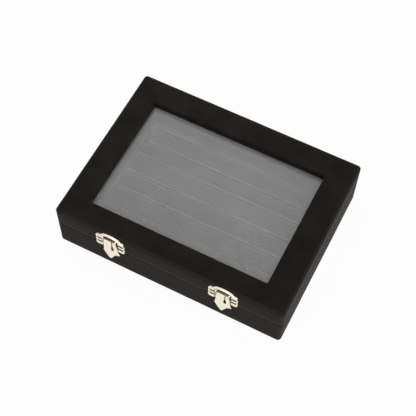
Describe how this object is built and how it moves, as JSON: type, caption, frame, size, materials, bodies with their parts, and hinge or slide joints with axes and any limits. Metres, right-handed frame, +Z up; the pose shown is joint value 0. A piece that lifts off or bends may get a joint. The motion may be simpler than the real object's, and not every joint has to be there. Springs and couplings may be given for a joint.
{
  "type": "cufflink display box",
  "caption": "Velvet-covered cufflink display box with a hinged glass lid, foam rolls inside and swinging front latches.",
  "frame": {"origin": "under the middle of the box, on the surface it stands on; the middle of the whole part's plan", "axes": "+X along the long side, latches face -Y, hinges face +Y, +Z up"},
  "size_m": [0.2, 0.1568, 0.049],
  "materials": {
    "board": "raw fibreboard",
    "velvet_cover": "black velvet",
    "velvet_trim": "black velvet on card",
    "velvet_roll": "black velvet over foam",
    "felt": "black felt",
    "card": "grey board",
    "glass": "clear with a slight haze",
    "latch_plating": "pale champagne plating",
    "hinge_brass": "satin brass plating",
    "steel_wire": "bright wire"
  },
  "bodies": {
    "base": {"base_front_wall": "board", "base_back_wall": "board", "base_left_wall": "board", "base_right_wall": "board", "base_floor": "board", "base_velvet": "velvet_cover", "bottom_felt": "felt", "insert_platform": "card", "insert_face": "velvet_trim", "insert_front_block": "card", "insert_back_block": "card", "insert_left_block": "card", "insert_right_block": "card", "foam_roll_1": "velvet_roll", "foam_roll_2": "velvet_roll", "foam_roll_3": "velvet_roll", "foam_roll_4": "velvet_roll", "foam_roll_5": "velvet_roll", "left_latch_catch": "latch_plating", "right_latch_catch": "latch_plating", "left_hinge_base_leaf": "hinge_brass", "right_hinge_base_leaf": "hinge_brass", "left_hinge_pin": "steel_wire", "right_hinge_pin": "steel_wire", "base_nails": "steel_wire"},
    "lid": {"lid_front_wall": "board", "lid_back_wall": "board", "lid_left_wall": "board", "lid_right_wall": "board", "lid_front_rail": "board", "lid_back_rail": "board", "lid_left_rail": "board", "lid_right_rail": "board", "lid_velvet": "velvet_cover", "glass_pane": "glass", "glass_front_bead": "velvet_trim", "glass_back_bead": "velvet_trim", "glass_left_bead": "velvet_trim", "glass_right_bead": "velvet_trim", "left_latch_plate": "latch_plating", "right_latch_plate": "latch_plating", "left_latch_pin": "steel_wire", "right_latch_pin": "steel_wire", "left_hinge_lid_leaf": "hinge_brass", "right_hinge_lid_leaf": "hinge_brass", "lid_nails": "steel_wire"},
    "left_flap": {"left_latch_flap": "latch_plating"},
    "right_flap": {"right_latch_flap": "latch_plating"}
  },
  "joints": [
    {"name": "lid_hinge", "type": "hinge", "parent": "base", "child": "lid", "pos_m": [0, 0.0769, 0.0295], "axis": [-1, 0, 0], "range_deg": [0, 105]},
    {"name": "left_flap_pivot", "type": "hinge", "parent": "lid", "child": "left_flap", "pos_m": [-0.0496, -0.0767, 0.0444], "axis": [-1, 0, 0], "range_deg": [0, 100]},
    {"name": "right_flap_pivot", "type": "hinge", "parent": "lid", "child": "right_flap", "pos_m": [0.0496, -0.0767, 0.0444], "axis": [-1, 0, 0], "range_deg": [0, 100]}
  ]
}
